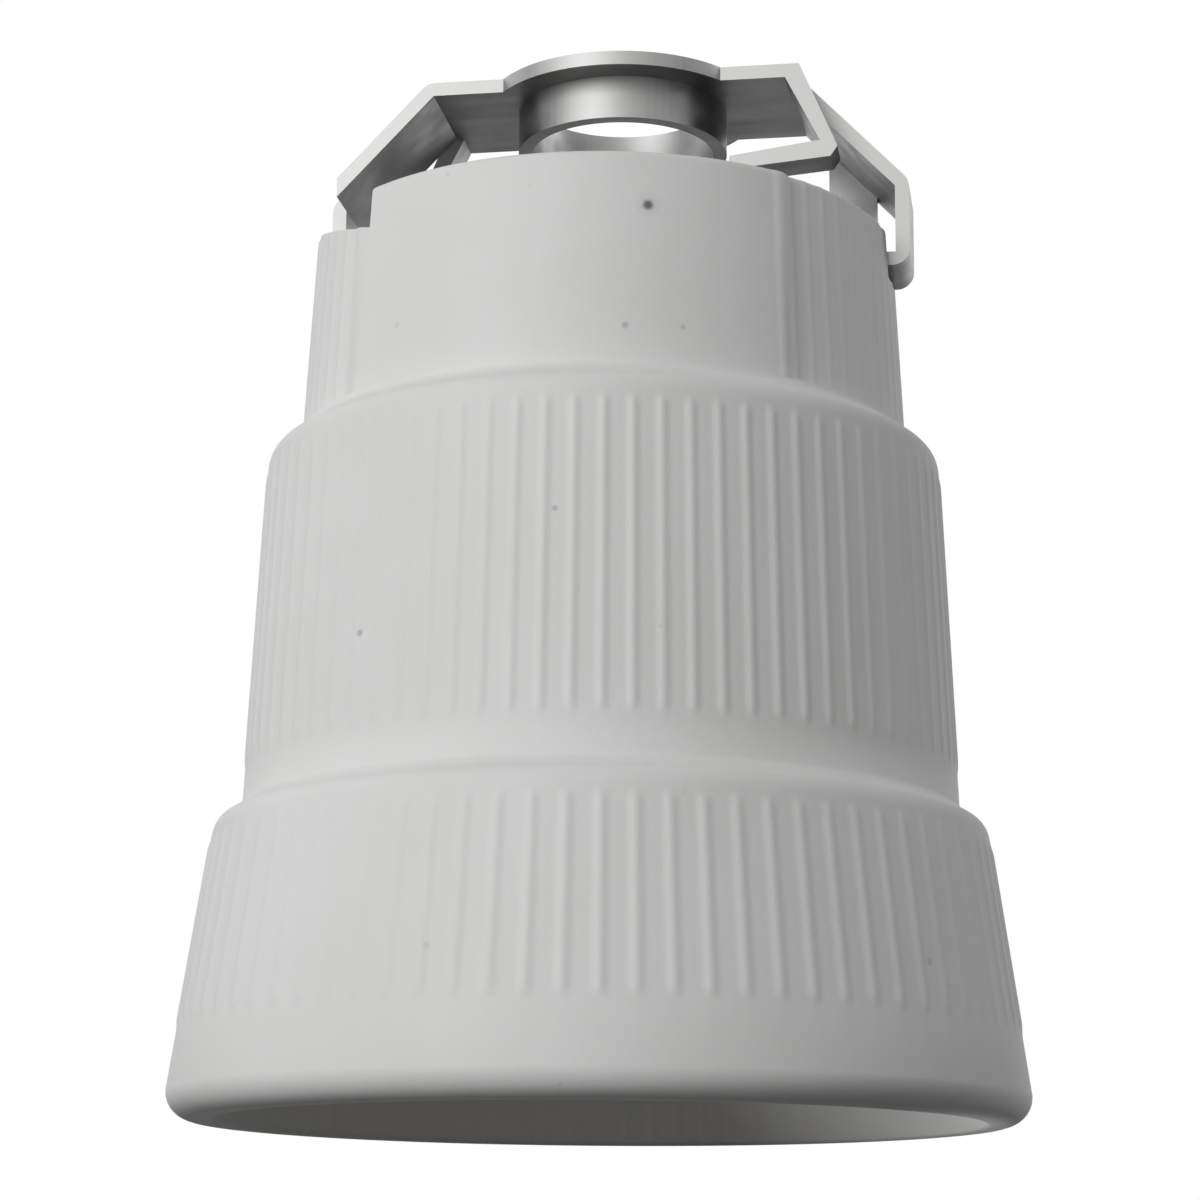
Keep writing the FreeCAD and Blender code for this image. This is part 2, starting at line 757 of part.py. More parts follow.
def make_fixings():
    """Two screws that hold the shell's flange and the disc to the porcelain's floor."""
    head_bottom = "(%s - fixing_head)" % FLANGE_BOTTOM
    nut_seat = "(%s + lock_washer)" % TERMINAL_FLOOR
    nut_top = "(%s + nut_height)" % nut_seat
    for name, sign, seat in (("neutral", "", TERMINAL_TOP), ("plain", "-", nut_top)):
        x, y = sign + "fixing_x", sign + "fixing_y"
        head = cylinder(name + "_fixing_head", "fixing_head_radius", head_bottom,
                        FLANGE_BOTTOM, x, y)
        shank = cylinder(name + "_fixing_shank", "fixing_radius", FLANGE_BOTTOM,
                         seat + " + fixing_end", x, y)
        slot = slotted(name + "_fixing", x, y, "fixing_head_radius", head_bottom + " - 1",
                       head_bottom + " + driver_depth")
        stud = fuse(name + "_fixing_stud", head, shank)
        keep(name + "_shell_screw", cut(name + "_fixing", stud, slot))

    prism = doc.addObject("Part::Prism", "nut_blank")
    prism.Polygon = 6
    bind(prism, Circumradius="nut_width / sqrt(3)", Height="nut_height")
    place(prism, "-fixing_x", "-fixing_y", nut_seat)
    thread = cylinder("nut_thread", "fixing_radius", TERMINAL_FLOOR, "body_height",
                      "-fixing_x", "-fixing_y")
    keep("shell_nut", cut("nut", prism, thread))
    lock_washer("shell_lock_washer", "fixing_radius", TERMINAL_FLOOR, "-fixing_x", "-fixing_y")


make_porcelain()
make_bracket()
make_shell()
make_disc()
make_contact()
make_terminals()
make_fixings()
doc.recompute()

for feature in doc.Objects:
    if "Invalid" in feature.State or "Error" in feature.State:
        raise SystemExit("failed feature: " + feature.Name)

os.makedirs("parts", exist_ok=True)
for node, feature in nodes.items():
    shape = feature.Shape
    if shape.isNull() or not shape.isValid():
        raise SystemExit("bad solid: " + node)
    shape.exportStep("parts/%s.step" % node)
    print("%-22s solids %d  volume %9.2f" % (node, len(shape.Solids), shape.Volume))
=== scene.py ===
import json
import math

import bpy
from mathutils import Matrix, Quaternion, Vector


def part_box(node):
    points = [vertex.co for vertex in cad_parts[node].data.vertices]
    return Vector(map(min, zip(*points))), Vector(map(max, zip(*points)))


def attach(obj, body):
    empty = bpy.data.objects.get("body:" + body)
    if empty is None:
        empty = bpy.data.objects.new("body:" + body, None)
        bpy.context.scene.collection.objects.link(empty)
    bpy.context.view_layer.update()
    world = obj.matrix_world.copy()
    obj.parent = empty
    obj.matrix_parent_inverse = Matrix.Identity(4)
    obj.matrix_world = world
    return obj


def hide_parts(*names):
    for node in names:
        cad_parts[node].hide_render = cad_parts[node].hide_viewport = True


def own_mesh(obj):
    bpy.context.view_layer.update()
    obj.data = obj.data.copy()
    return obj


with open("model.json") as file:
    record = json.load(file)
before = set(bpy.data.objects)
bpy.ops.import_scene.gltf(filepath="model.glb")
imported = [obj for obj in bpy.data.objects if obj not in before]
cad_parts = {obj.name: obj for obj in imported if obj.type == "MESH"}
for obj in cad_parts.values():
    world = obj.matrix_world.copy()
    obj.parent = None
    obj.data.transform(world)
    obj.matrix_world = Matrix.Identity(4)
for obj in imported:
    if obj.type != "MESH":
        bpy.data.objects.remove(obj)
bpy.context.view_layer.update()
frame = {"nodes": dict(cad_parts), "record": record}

MM = 0.001
SLOTS = {part["node"]: part["material_slot"] for part in frame["record"]["subparts"]}


# Porcelain's tapered outside. All of the porcelain's sizes are in mm and degrees.

BODY_HEIGHT = 50.0
LIP_R, LIP_ROUND = 23.49, 1.5
SKIRT_TOP_R, SKIRT_TOP = 21.4, 16.1
WAIST_BOTTOM_R, WAIST_BOTTOM = 19.9, 17.0
WAIST_TOP_R, WAIST_TOP = 19.05, 37.0
NECK_BOTTOM_R, NECK_BOTTOM = 17.5, 37.9
NECK_TOP_R = 16.9


def taper(bottom_radius, bottom, top_radius, top):
    """Radius of a tapered wall as a function of the height."""
    return lambda z: bottom_radius + (top_radius - bottom_radius) * (z - bottom) / (top - bottom)


skirt = taper(LIP_R, LIP_ROUND, SKIRT_TOP_R, SKIRT_TOP)
waist = taper(WAIST_BOTTOM_R, WAIST_BOTTOM, WAIST_TOP_R, WAIST_TOP)
neck = taper(NECK_BOTTOM_R, NECK_BOTTOM, NECK_TOP_R, BODY_HEIGHT)


# Shader helpers

def as_colour(item):
    if isinstance(item, (int, float)):
        return (item, item, item, 1.0)
    return tuple(item)[:3] + (1.0,)


class Shader:
    """A material's node tree, with short calls for the nodes that the finishes share."""

    def __init__(self, name):
        self.material = bpy.data.materials.new(name)
        self.material.use_nodes = True
        self.tree = self.material.node_tree
        self.surface = self.tree.nodes["Principled BSDF"]
        self.place = self.tree.nodes.new("ShaderNodeTexCoord").outputs["Object"]

    def node(self, kind, **settings):
        node = self.tree.nodes.new(kind)
        for name, setting in settings.items():
            setattr(node, name, setting)
        return node

    def put(self, socket, item):
        """Link an output to a socket, or set the socket's own value."""
        if isinstance(item, bpy.types.NodeSocket):
            self.tree.links.new(item, socket)
        elif socket.type == "RGBA":
            socket.default_value = as_colour(item)
        else:
            socket.default_value = item

    def finish(self, **inputs):
        """Set inputs of the surface, named with underscores for their spaces."""
        for name, item in inputs.items():
            self.put(self.surface.inputs[name.replace("_", " ")], item)

    def stretched(self, scale):
        mapping = self.node("ShaderNodeMapping")
        self.put(mapping.inputs["Vector"], self.place)
        self.put(mapping.inputs["Scale"], scale)
        return mapping.outputs["Vector"]

    def noise(self, scale, detail=4.0, roughness=0.5, along=None):
        texture = self.node("ShaderNodeTexNoise")
        self.put(texture.inputs["Scale"], scale)
        self.put(texture.inputs["Detail"], detail)
        self.put(texture.inputs["Roughness"], roughness)
        self.put(texture.inputs["Vector"], along or self.place)
        return texture.outputs["Fac"]

    def ramp(self, factor, low, high, start, end):
        """A value or colour that goes from start to end as factor goes from low to high."""
        ramp = self.node("ShaderNodeValToRGB")
        for element, position, item in zip(ramp.color_ramp.elements, (low, high), (start, end)):
            element.position = position
            element.color = as_colour(item)
        self.put(ramp.inputs["Fac"], factor)
        return ramp.outputs["Color"]

    def mix(self, factor, first, second):
        """First where factor is 0, second where it is 1. The indices are the colour sockets'."""
        mix = self.node("ShaderNodeMix", data_type="RGBA")
        for index, item in ((0, factor), (6, first), (7, second)):
            self.put(mix.inputs[index], item)
        return mix.outputs[2]

    def maths(self, operation, *items):
        node = self.node("ShaderNodeMath", operation=operation)
        for socket, item in zip(node.inputs, items):
            self.put(socket, item)
        return node.outputs[0]

    def part(self, vector, axis):
        split = self.node("ShaderNodeSeparateXYZ")
        self.put(split.inputs[0], vector)
        return split.outputs[axis]

    def near(self, spot, radius, core=0.4):
        """1 at a place on the object, falling to 0 from a core out to the radius."""
        away = self.node("ShaderNodeVectorMath", operation="DISTANCE")
        self.put(away.inputs[0], self.place)
        self.put(away.inputs[1], spot)
        reach = self.node("ShaderNodeMapRange")
        self.put(reach.inputs["Value"], away.outputs["Value"])
        self.put(reach.inputs["From Min"], core * radius)
        self.put(reach.inputs["From Max"], radius)
        self.put(reach.inputs["To Min"], 1.0)
        self.put(reach.inputs["To Max"], 0.0)
        return reach.outputs["Result"]

    def bump(self, height, distance, strength=1.0):
        bump = self.node("ShaderNodeBump")
        self.put(bump.inputs["Height"], height)
        self.put(bump.inputs["Distance"], distance)
        self.put(bump.inputs["Strength"], strength)
        self.put(self.surface.inputs["Normal"], bump.outputs["Normal"])


# Finishes

DRAWN_ALONG_Z = (900.0, 900.0, 60.0)
ROLLED_ALONG_X = (70.0, 900.0, 900.0)
# Colour of the cut edges: their bare steel and a painted highlight.
CUT_STEEL_AND_HIGHLIGHT = (0.31, 0.31, 0.305)
FOOT_FACE_Y = 3.8 * MM
FOOT_FACE_BAND = 0.1 * MM


def metal(name, colour, roughness):
    """Plated metal: mottled colour and fine drawing lines in its roughness and bump."""
    shader = Shader(name)
    dark = tuple(0.82 * part for part in colour)
    lines = shader.noise(1.0, detail=2.0, along=shader.stretched(DRAWN_ALONG_Z))
    shader.finish(
        Metallic=1.0,
        Base_Color=shader.ramp(shader.noise(240.0), 0.35, 0.65, dark, colour),
        Roughness=shader.ramp(lines, 0.3, 0.7, roughness - 0.06, roughness + 0.08),
    )
    shader.bump(lines, 0.006 * MM)
    return shader.material


def sheet_steel():
    """Dull plated sheet, rougher and paler on the cut edges, what faces along Y but the foot: the paler
    colour is their bare steel with a painted highlight.
    """
    shader = Shader("plated_sheet")
    normal = shader.node("ShaderNodeNewGeometry").outputs["True Normal"]
    across = shader.maths("ABSOLUTE", shader.part(normal, "Y"))
    foot = shader.maths("COMPARE", shader.part(shader.place, "Y"), FOOT_FACE_Y, FOOT_FACE_BAND)
    edge = shader.mix(foot, shader.ramp(across, 0.8, 0.95, 0.0, 1.0), 0.0)
    lines = shader.noise(1.0, detail=2.0, along=shader.stretched(ROLLED_ALONG_X))
    plate = shader.ramp(shader.noise(260.0), 0.3, 0.7, 0.2, 0.3)
    shader.finish(
        Metallic=1.0,
        # Cut edges paler than the plate: bare steel and a painted highlight.
        Base_Color=shader.mix(edge, plate, CUT_STEEL_AND_HIGHLIGHT),
        Roughness=shader.mix(edge, shader.ramp(lines, 0.3, 0.7, 0.34, 0.5), 0.55),
    )
    shader.bump(lines, 0.008 * MM)
    return shader.material


# Pits and specks on the porcelain's outside: the tier's wall, azimuth from -Y towards +X, height,
# the mark's own radius and how dark it is. The first two are the largest pit's halo and the pit.
MARKS = (
    (neck, 16.54, 46.88, 0.8, 0.08),
    (neck, 16.54, 46.88, 0.36, 0.8),
    (neck, 12.49, 40.1, 0.25, 0.3),
    (neck, 22.6, 40.16, 0.2, 0.22),
    (waist, 1.74, 29.75, 0.22, 0.3),
    (waist, -30.57, 24.1, 0.25, 0.35),
    (skirt, -12.75, 7.35, 0.24, 0.14),
    (skirt, 55.95, 7.34, 0.25, 0.25),
)
MARK_PAINT = 0.78


def porcelain():
    """Unglazed white porcelain: faint clouding, fine grain, and a few pits and specks."""
    shader = Shader("porcelain_bisque")
    cloud = shader.noise(90.0, detail=5.0)
    clay = shader.ramp(cloud, 0.3, 0.7, (0.76, 0.76, 0.75), (0.8, 0.8, 0.795))
    speck = shader.ramp(shader.noise(1100.0, detail=1.0, roughness=0.3), 0.8, 0.84, 0.0, 0.25)
    colour = shader.mix(speck, clay, (0.42, 0.41, 0.4))
    for wall, azimuth, height, size, darkness in MARKS:
        angle = math.radians(azimuth)
        radius = wall(height)
        spot = (radius * math.sin(angle) * MM, -radius * math.cos(angle) * MM, height * MM)
        colour = shader.mix(shader.near(spot, size * MM), colour, MARK_PAINT * (1.0 - darkness))
    shader.finish(Base_Color=colour, Roughness=0.6, Specular_IOR_Level=0.35)
    shader.bump(shader.noise(2600.0, detail=3.0), 0.02 * MM, 0.5)
    return shader.material


def insulation():
    """Pressed insulating board."""
    shader = Shader("insulating_board")
    fleck = shader.noise(700.0, detail=3.0)
    shader.finish(
        Base_Color=shader.ramp(fleck, 0.35, 0.65, (0.2, 0.12, 0.07), (0.34, 0.22, 0.13)),
        Roughness=0.7,
    )
    shader.bump(fleck, 0.03 * MM)
    return shader.material


FINISHES = {
    "porcelain": porcelain(),
    "bracket_steel": sheet_steel(),
    "shell_metal": metal("rolled_brass", (0.78, 0.64, 0.38), 0.32),
    "insulation": insulation(),
    "contact_brass": metal("turned_brass", (0.8, 0.64, 0.36), 0.28),
    "spring_steel": metal("spring_wire", (0.5, 0.5, 0.52), 0.3),
    "screw_steel": metal("screw_plate", (0.64, 0.64, 0.65), 0.34),
}
SHARP_FROM = math.radians(35.0)


def smooth(obj):
    """Smooth shading with the sharp edges kept."""
    obj.data.shade_smooth()
    obj.data.set_sharp_from_angle(angle=SHARP_FROM)


for node_name, node_object in frame["nodes"].items():
    node_object.data.materials.clear()
    node_object.data.materials.append(FINISHES[SLOTS[node_name]])
    smooth(node_object)


# Geometry helpers

def eased(share):
    """0 to 1 with a soft start and end."""
    share = min(max(share, 0.0), 1.0)
    return share * share * (3.0 - 2.0 * share)


def rounded(start, corner, end, steps):
    """Points of a smooth bend from start to end, drawn towards the corner."""
    points = []
    for step in range(steps + 1):
        t = step / steps
        weights = ((1 - t) ** 2, 2 * t * (1 - t), t * t)
        points.append(tuple(
            sum(weight * point[axis] for weight, point in zip(weights, (start, corner, end)))
            for axis in (0, 1)
        ))
    return points


def strip(here, there, count, closed=True):
    """Faces between two rows of points, whose first points are here and there."""
    faces = []
    for index in range(count if closed else count - 1):
        after = (index + 1) % count
        faces.append((here + index, here + after, there + after, there + index))
    return faces


def mesh_object(name, points, faces):
    mesh = bpy.data.meshes.new(name)
    mesh.from_pydata(points, [], faces)
    mesh.validate()
    obj = bpy.data.objects.new(name, mesh)
    bpy.context.scene.collection.objects.link(obj)
    return obj


def add_piece(obj, node):
    """Give a piece the holder's motion and the finish of the CAD node that it stands for, and hide that
    node.
    """
    slot = SLOTS[node]
    obj.data.materials.append(FINISHES[slot])
    smooth(obj)
    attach(obj, "holder")
    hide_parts(node)


# Porcelain: its section, ribs on the two lower tiers, and a sunken ribbed panel on each side

COLUMNS = 800
EDGE_ROUND = 0.4
EDGE_STEPS = 4
LIP_STEPS = 8
SHOULDER_BELOW, SHOULDER_CROWN = 0.8, 0.1
SHOULDER_IN, SHOULDER_ABOVE = 0.7, 0.3
SHOULDER_STEPS = 6
FILLET_OUT, FILLET_BELOW, FILLET_ABOVE = 0.15, 0.08, 0.12
MOUTH_R, MOUTH_INNER_R, MOUTH_DEPTH = 20.9, 18.4, 12.2
POCKET_R, FLOOR_HEIGHT = 14.2, 36.4
WELL_R, WELL_TOP = 4.2, 42.5
RIB_PITCH = 4.5
RIB_HALF = 1.2
RIB_HEIGHT = 0.09
RIB_RUN_OUT = 0.8
SKIRT_RIBS = (4.6, 15.2)
WAIST_RIBS = (19.0, 36.1)
PANEL_HALF = 46.1
PANEL_BOTTOM, PANEL_LEDGE = 38.2, 0.1
PANEL_DEPTH = 0.3
PANEL_STEP = 1.8
PANEL_RIB = 0.05
PANEL_BEAD, PANEL_BEAD_WIDTH = 0.07, 3.0
HAIR = 0.01


def ribbed(wall, ribs):
    """Points up a wall, close together where the ribs run out."""
    steps = [RIB_RUN_OUT * share for share in (0.0, 0.25, 0.5, 0.75, 1.0)]
    heights = [ribs[0] + step for step in steps] + [ribs[1] - step for step in reversed(steps)]
    return [(wall(height), height) for height in heights]


def shoulder(wall, top, next_radius, next_bottom):
    """Rounded shoulder of a tier and its slope to the foot of the next tier."""
    start = top - SHOULDER_BELOW
    corner = (wall(top), top + SHOULDER_CROWN)
    end = (wall(top) - SHOULDER_IN, top + SHOULDER_ABOVE)
    return rounded((wall(start), start), corner, end, SHOULDER_STEPS) + [
        (next_radius + FILLET_OUT, next_bottom - FILLET_BELOW),
        (next_radius, next_bottom + FILLET_ABOVE),
    ]


def porcelain_outline():
    """Section from the top's rim down the outside, round the lip and up the inside to the well."""
    lip = []
    for step in range(LIP_STEPS + 1):
        angle = math.radians(90.0 * step / LIP_STEPS)
        lip.append((LIP_R - LIP_ROUND * (1 - math.cos(angle)), LIP_ROUND * (1 - math.sin(angle))))
    up = ribbed(skirt, SKIRT_RIBS)
    up += shoulder(skirt, SKIRT_TOP, WAIST_BOTTOM_R, WAIST_BOTTOM)
    up += ribbed(waist, WAIST_RIBS)
    up += shoulder(waist, WAIST_TOP, NECK_BOTTOM_R, NECK_BOTTOM)
    up += [(neck(height), height) for height in (PANEL_BOTTOM, PANEL_BOTTOM + PANEL_LEDGE)]
    rim = BODY_HEIGHT - EDGE_ROUND
    rim_end = (NECK_TOP_R - EDGE_ROUND, BODY_HEIGHT)
    up += rounded((neck(rim), rim), (NECK_TOP_R, BODY_HEIGHT), rim_end, EDGE_STEPS)
    mouth_end = (MOUTH_R, EDGE_ROUND)
    mouth = rounded((MOUTH_R + EDGE_ROUND, 0.0), (MOUTH_R, 0.0), mouth_end, EDGE_STEPS)
    return up[::-1] + lip + mouth + [
        (MOUTH_INNER_R, MOUTH_DEPTH),
        (POCKET_R + EDGE_ROUND, MOUTH_DEPTH),
        (POCKET_R, MOUTH_DEPTH + EDGE_ROUND),
        (POCKET_R, FLOOR_HEIGHT),
        (WELL_R, FLOOR_HEIGHT),
        (WELL_R, WELL_TOP),
    ]


def relief(degrees, radius, z):
    """How far the outside stands out of its tiers. The inside, lip and top have no relief."""
    if radius < NECK_TOP_R - EDGE_ROUND - HAIR or z < SKIRT_RIBS[0]:
        return 0.0
    off = abs((degrees + RIB_PITCH / 2) % RIB_PITCH - RIB_PITCH / 2)
    rib = 0.5 + 0.5 * math.cos(math.pi * off / RIB_HALF) if off < RIB_HALF else 0.0
    total = 0.0
    for low, high in (SKIRT_RIBS, WAIST_RIBS):
        total += RIB_HEIGHT * rib * eased((z - low) / RIB_RUN_OUT) * eased((high - z) / RIB_RUN_OUT)
    if z > PANEL_BOTTOM + PANEL_LEDGE / 2:
        side = abs((degrees + 90.0) % 180.0 - 90.0) - PANEL_HALF
        if side < PANEL_BEAD_WIDTH:
            sunk = eased(-side / PANEL_STEP)
            bead = PANEL_BEAD * math.sin(math.pi * max(side, 0.0) / PANEL_BEAD_WIDTH)
            total += bead + sunk * (PANEL_RIB * rib - PANEL_DEPTH)
    return total


def lathe(name, outline):
    """Body of revolution with relief, closed by a fan of triangles at each end of the outline."""
    points = []
    for column in range(COLUMNS):
        degrees = 360.0 * column / COLUMNS
        across, along = math.cos(math.radians(degrees)), math.sin(math.radians(degrees))
        for r, z in outline:
            reach = r + relief(degrees, r, z)
            points.append((reach * across * MM, reach * along * MM, z * MM))
    rows = len(outline)
    first, last = len(points), len(points) + 1
    points += [(0.0, 0.0, outline[0][1] * MM), (0.0, 0.0, outline[-1][1] * MM)]
    faces = []
    for column in range(COLUMNS):
        here, there = column * rows, (column + 1) % COLUMNS * rows
        faces += strip(here, there, rows, closed=False)
        faces.append((first, here, there))
        faces.append((last, there + rows - 1, here + rows - 1))
    return mesh_object(name, points, faces)


# Porcelain: what is cut out of its top. A rectangle is its least and most x, then y.

CUT_TOP = BODY_HEIGHT + 1.0
CHAMBER_FLOOR = 44.0
LINE_SCREW = (4.0, -9.2)
NEUTRAL_SCREW = (-1.6, 9.4)
CLAMP_HALF = 3.9
LINE_CHANNEL = (-2.7, 2.7, -7.85, 3.0)
NEUTRAL_CHANNEL = (-1.6, 9.8, 3.4, 9.4)
NUT_X, NUT_Y, NUT_RECESS_R = -6.8, -6.4, 3.4
NUT_RECESS_SIDES = 36
SLOT_HALF, SLOT_FLOOR, SLOT_END = 2.6, 47.1, 18.5
LEG_SLOT_IN = 14.3
FOOT_SLOT_IN, FOOT_SLOT_TOP = 12.2, 48.8
NOTCH_AZIMUTH = 218.5
NOTCH_WALL = 3.4
NOTCH_FLOOR = 47.6
NOTCH_SLOPE = 0.265
NOTCH_REACH = 3.6
NOTCH_PAST = 2.0


def prism(section, low, high, place):
    """Closed prism: a counter-clockwise section, run from low to high by the place function."""
    count = len(section)
    points = [place(u, v, w) for w in (low, high) for u, v in section]
    faces = [tuple(reversed(range(count))), tuple(range(count, 2 * count))]
    faces += strip(0, count, count)
    return mesh_object("cutter", [tuple(part * MM for part in point) for point in points], faces)


def upright(x, y, z):
    return (x, y, z)


def in_notch(y, z, x):
    """The notch's own frame: x outward at the notch's azimuth, y round the rim."""
    angle = math.radians(NOTCH_AZIMUTH)
    return (
        x * math.cos(angle) - y * math.sin(angle),
        x * math.sin(angle) + y * math.cos(angle),
        z,
    )


def box(x0, x1, y0, y1, z0, z1=CUT_TOP):
    return prism([(x0, y0), (x1, y0), (x1, y1), (x0, y1)], z0, z1, upright)


def around(x, y):
    """Square well of a clamp, about its screw."""
    return (x - CLAMP_HALF, x + CLAMP_HALF, y - CLAMP_HALF, y + CLAMP_HALF)


def nut_recess():
    section = []
    for step in range(NUT_RECESS_SIDES):
        angle = 2.0 * math.pi * step / NUT_RECESS_SIDES
        section.append((NUT_X + NUT_RECESS_R * math.cos(angle), NUT_Y + NUT_RECESS_R * math.sin(angle)))
    return prism(section, CHAMBER_FLOOR, CUT_TOP, upright)


def wire_notch():
    """Wedge over the notch's floor, which is deepest at the notch's wall and rises from there."""
    run = (CUT_TOP - NOTCH_FLOOR) / NOTCH_SLOPE
    section = [(NOTCH_WALL, NOTCH_FLOOR), (NOTCH_WALL, CUT_TOP), (NOTCH_WALL - run, CUT_TOP)]
    return prism(section, NECK_TOP_R - NOTCH_REACH, NECK_TOP_R + NOTCH_PAST, in_notch)


def porcelain_cutters():
    """Chambers of the terminals, the nut's recess, slots of the bracket's ends, and the notch."""
    chambers = (around(*LINE_SCREW), LINE_CHANNEL, around(*NEUTRAL_SCREW), NEUTRAL_CHANNEL)
    cutters = [box(*chamber, CHAMBER_FLOOR) for chamber in chambers]
    cutters.append(nut_recess())
    for inner, top in ((LEG_SLOT_IN, CUT_TOP), (FOOT_SLOT_IN, FOOT_SLOT_TOP)):
        for side in (1, -1):
            ends = sorted((side * inner, side * SLOT_END))
            cutters.append(box(*ends, -SLOT_HALF, SLOT_HALF, SLOT_FLOOR, top))
    cutters.append(wire_notch())
    return cutters


def carve(obj, cutters):
    """Cut every cutter out of the object and keep only the result."""
    for cutter in cutters:
        modifier = obj.modifiers.new("carve", "BOOLEAN")
        modifier.operation = "DIFFERENCE"
        modifier.solver = "MANIFOLD"
        modifier.object = cutter
    depsgraph = bpy.context.evaluated_depsgraph_get()
    carved = bpy.data.meshes.new_from_object(obj.evaluated_get(depsgraph))
    carved.materials.clear()
    obj.modifiers.clear()
    obj.data = carved
    for cutter in cutters:
        bpy.data.objects.remove(cutter)


moulding = lathe("porcelain_moulding", porcelain_outline())
carve(moulding, porcelain_cutters())
add_piece(moulding, "porcelain_body")


# Screw shell with the lamp's rolled knuckle thread

THREAD_PITCH = 3.629 * MM
THREAD_DEPTH = 0.95 * MM
THREAD_RUN_OUT = 1.8 * MM
SHELL_SHEET = 0.35 * MM
SHELL_FLANGE = 7.6 * MM
SHELL_ANGLES = 120
SHELL_ROWS = 96


def rolled_shell():
    """Thin shell: ridges rolled to the inside in a right-handed helix, flange turned inward."""
    low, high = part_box("screw_shell")
    root = high[0] - SHELL_SHEET
    bottom, top = low[2], high[2]
    under = top - SHELL_SHEET

    def wall(angle, height):
        """Inner radius: roots at the CAD tube's bore, crests one thread depth further in."""
        turn = 2.0 * math.pi * height / THREAD_PITCH - angle
        fade = eased((height - bottom) / THREAD_RUN_OUT) * eased((under - height) / THREAD_RUN_OUT)
        return root - THREAD_DEPTH * fade * (0.5 - 0.5 * math.cos(turn))

    heights = [bottom + (under - bottom) * row / SHELL_ROWS for row in range(SHELL_ROWS + 1)]
    points = []
    for step in range(SHELL_ANGLES):
        angle = 2.0 * math.pi * step / SHELL_ANGLES
        section = [(wall(angle, height), height) for height in heights]
        section += [(SHELL_FLANGE, under), (SHELL_FLANGE, top), (root + SHELL_SHEET, top)]
        section += [(wall(angle, height) + SHELL_SHEET, height) for height in reversed(heights)]
        points += [(r * math.cos(angle), r * math.sin(angle), z) for r, z in section]
    count = len(points) // SHELL_ANGLES
    faces = []
    for step in range(SHELL_ANGLES):
        faces += strip(step * count, (step + 1) % SHELL_ANGLES * count, count)
    return mesh_object("rolled_shell", points, faces)


add_piece(rolled_shell(), "screw_shell")


# Contact spring of round wire, which shortens as the lamp presses the contact

SPRING_RADIUS = 2.7 * MM
SPRING_WIRE_RADIUS = 0.225 * MM
SPRING_TURNS = 4
SPRING_STEPS = 40
SPRING_SIDES = 10


def coil_spring(bottom, top):
    """Right-handed coil between its two seats, with flat wire ends."""
    count = SPRING_TURNS * SPRING_STEPS
    rise = (top - bottom - 2.0 * SPRING_WIRE_RADIUS) / count
    slope = math.atan2(rise * SPRING_STEPS, 2.0 * math.pi * SPRING_RADIUS)
    points = []
    for step in range(count + 1):
        angle = 2.0 * math.pi * step / SPRING_STEPS
        outward = Vector((math.cos(angle), math.sin(angle), 0.0))
        along = Vector((-math.sin(angle), math.cos(angle), 0.0))
        upward = Vector((0.0, 0.0, math.cos(slope))) - along * math.sin(slope)
        centre = outward * SPRING_RADIUS
        centre.z = bottom + SPRING_WIRE_RADIUS + rise * step
        for side in range(SPRING_SIDES):
            turn = 2.0 * math.pi * side / SPRING_SIDES
            spoke = outward * math.cos(turn) + upward * math.sin(turn)
            points.append(centre + spoke * SPRING_WIRE_RADIUS)
    faces = [tuple(range(SPRING_SIDES)), tuple(reversed(range(count * SPRING_SIDES, len(points))))]
    for step in range(count):
        faces += strip((step + 1) * SPRING_SIDES, step * SPRING_SIDES, SPRING_SIDES)
    return mesh_object("coil_spring", points, faces)


def add_spring():
    """Add the spring between the ends of the CAD spring's box, with a mesh of its own."""
    low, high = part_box("contact_spring")
    spring = coil_spring(low[2], high[2])
    add_piece(spring, "contact_spring")
    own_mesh(spring)


add_spring()


# Camera, fitted to the photograph: below the mouth's rim, looking up. Angles in degrees.

PHOTO_WIDTH = 1200.0
FOCAL_PIXELS = 3050.0
SENSOR = 36.0
CLIP_START = 0.01
CAMERA_TURN = 9.0
CAMERA_AWAY = 168.6 * MM
CAMERA_HEIGHT = -9.53 * MM
CAMERA_PITCH = 13.01
CAMERA_YAW = 0.05
CAMERA_ROLL = 0.44


def add_camera():
    """Camera on a circle round the holder, with its gaze turned, raised and rolled as fitted."""
    data = bpy.data.cameras.new("camera")
    data.sensor_width = SENSOR
    data.lens = FOCAL_PIXELS / PHOTO_WIDTH * SENSOR
    data.clip_start = CLIP_START
    camera = bpy.data.objects.new("camera", data)
    bpy.context.scene.collection.objects.link(camera)
    turn = math.radians(CAMERA_TURN)
    camera.location = (CAMERA_AWAY * math.sin(turn), -CAMERA_AWAY * math.cos(turn), CAMERA_HEIGHT)
    pitch = math.radians(CAMERA_PITCH)
    heading = turn + math.radians(CAMERA_YAW)
    level = math.cos(pitch)
    gaze = Vector((-math.sin(heading) * level, math.cos(heading) * level, math.sin(pitch)))
    roll = Quaternion(Vector((0, 0, 1)), math.radians(CAMERA_ROLL))
    camera.rotation_mode = "QUATERNION"
    camera.rotation_quaternion = gaze.to_track_quat("-Z", "Y") @ roll
    bpy.context.scene.camera = camera


add_camera()


# Lamps: three soft ones round the holder, each with its azimuth and its power in watts, and a
# small one below the mouth

LAMPS = (("key", -24, 1.42), ("left_fill", -105, 0.2), ("right_fill", 115, 0.47))
LAMP_SIZE = 0.25
LAMP_AWAY = 0.42
LAMP_Z = 0.17
LAMP_AIM = (0, 0, 30 * MM)
MOUTH_LAMP = (1 * MM, -9 * MM, -11.5 * MM)
MOUTH_AIM = (20 * MM, 6 * MM, 9 * MM)
MOUTH_LAMP_SIZE = 4 * MM
MOUTH_LAMP_POWER = 0.0007
MOUTH_LAMP_SPREAD = 80.0


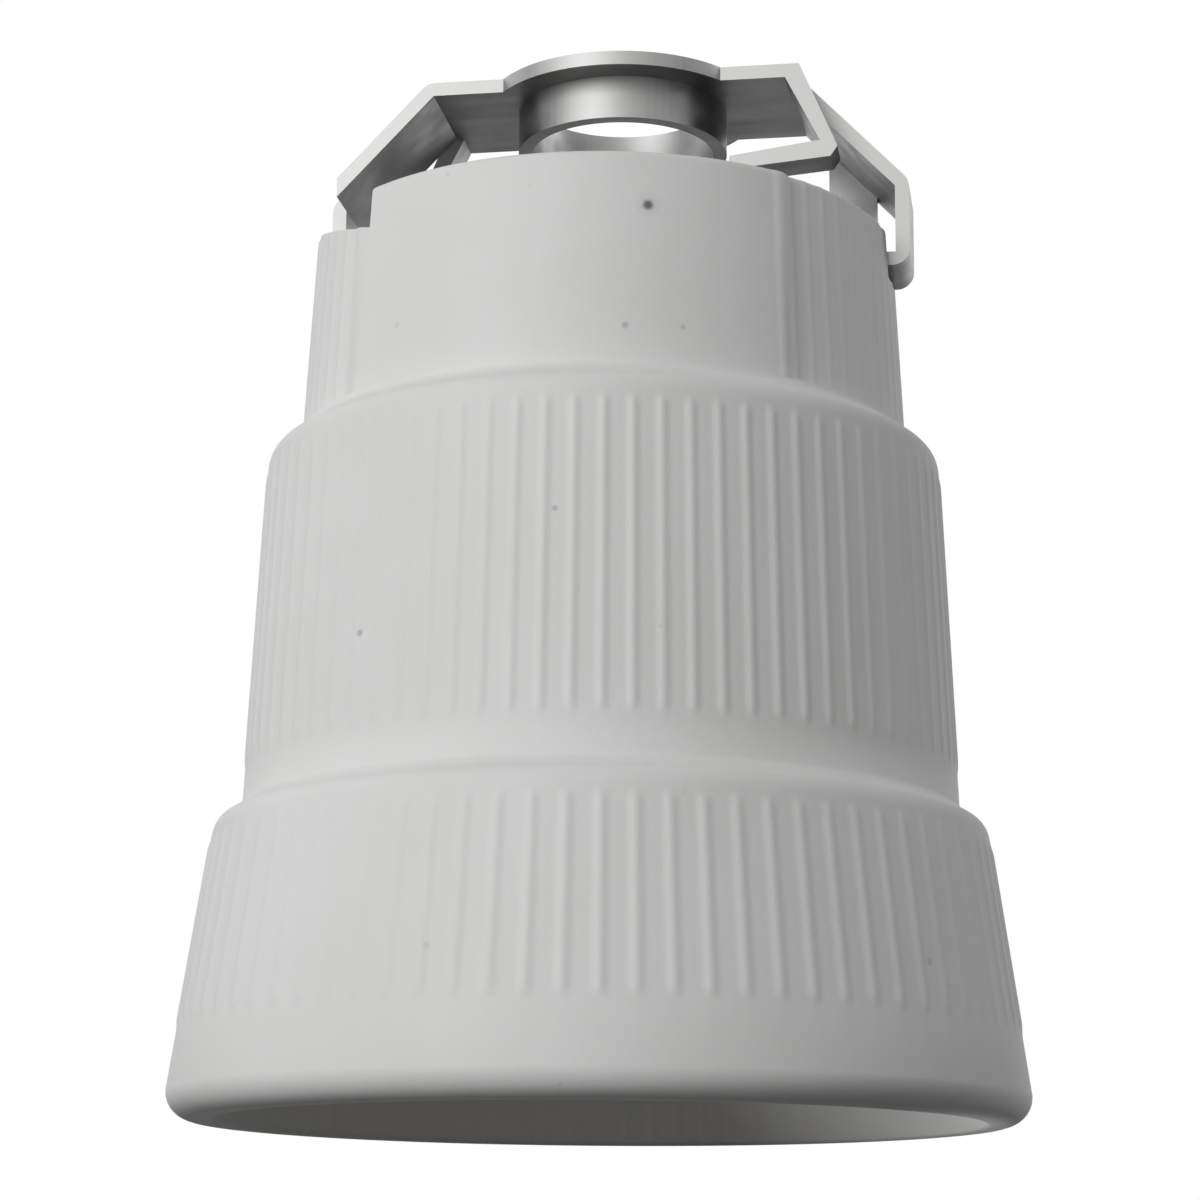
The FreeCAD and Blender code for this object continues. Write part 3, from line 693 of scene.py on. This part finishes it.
def lamp(name, place, aim, size, power, spread=180.0):
    """Square area lamp that no camera ray sees."""
    data = bpy.data.lights.new(name, "AREA")
    data.size = size
    data.spread = math.radians(spread)
    data.energy = power
    obj = bpy.data.objects.new(name, data)
    bpy.context.scene.collection.objects.link(obj)
    obj.visible_camera = False
    obj.location = place
    obj.rotation_mode = "QUATERNION"
    obj.rotation_quaternion = (Vector(aim) - Vector(place)).to_track_quat("-Z", "Y")


for lamp_name, azimuth, power in LAMPS:
    angle = math.radians(azimuth)
    place = (LAMP_AWAY * math.sin(angle), -LAMP_AWAY * math.cos(angle), LAMP_Z)
    lamp(lamp_name, place, LAMP_AIM, LAMP_SIZE, power)

lamp("mouth_fill", MOUTH_LAMP, MOUTH_AIM, MOUTH_LAMP_SIZE, MOUTH_LAMP_POWER, MOUTH_LAMP_SPREAD)


# White surroundings, and a pale floor below the hanging holder that fades out into them

AMBIENT = 0.04
WHITE = 1.0
FLOOR_Z = -14 * MM
FLOOR_HALF = 0.5
FLOOR_SEEN = 0.4
PAPER_SEEN, PAPER_LIT = 0.85, 0.1


def background_rays(tree):
    """1 for the rays that show the background: camera, glossy and transmission rays."""
    rays = tree.nodes.new("ShaderNodeLightPath").outputs
    seen = rays["Is Camera Ray"]
    for ray in ("Is Glossy Ray", "Is Transmission Ray"):
        either = tree.nodes.new("ShaderNodeMath")
        either.operation = "MAXIMUM"
        tree.links.new(seen, either.inputs[0])
        tree.links.new(rays[ray], either.inputs[1])
        seen = either.outputs[0]
    return seen


def add_world():
    """World that is white to look at and gives little light. Indices are the float sockets'."""
    world = bpy.data.worlds.new("studio")
    bpy.context.scene.world = world
    world.use_nodes = True
    tree = world.node_tree
    background = tree.nodes["Background"]
    background.inputs["Color"].default_value = (WHITE, WHITE, WHITE, 1.0)
    strength = tree.nodes.new("ShaderNodeMix")
    strength.data_type = "FLOAT"
    strength.inputs[2].default_value = AMBIENT
    strength.inputs[3].default_value = WHITE
    tree.links.new(background_rays(tree), strength.inputs[0])
    tree.links.new(strength.outputs[0], background.inputs["Strength"])


def add_floor():
    """Square of paper that fades out with distance and can be looked through from below."""
    sides = ((-1, -1), (1, -1), (1, 1), (-1, 1))
    corners = [(x * FLOOR_HALF, y * FLOOR_HALF, FLOOR_Z) for x, y in sides]
    floor = mesh_object("floor", corners, [(0, 1, 2, 3)])
    paper = Shader("floor_paper")
    from_below = paper.node("ShaderNodeNewGeometry").outputs["Backfacing"]
    fade = paper.near((0, 0, FLOOR_Z), FLOOR_SEEN)
    paper.finish(
        Base_Color=paper.mix(background_rays(paper.tree), PAPER_LIT, PAPER_SEEN),
        Roughness=0.9,
        Alpha=paper.mix(from_below, fade, 0.0),
    )
    floor.data.materials.append(paper.material)


add_world()
add_floor()

bpy.context.scene.view_settings.view_transform = "Standard"
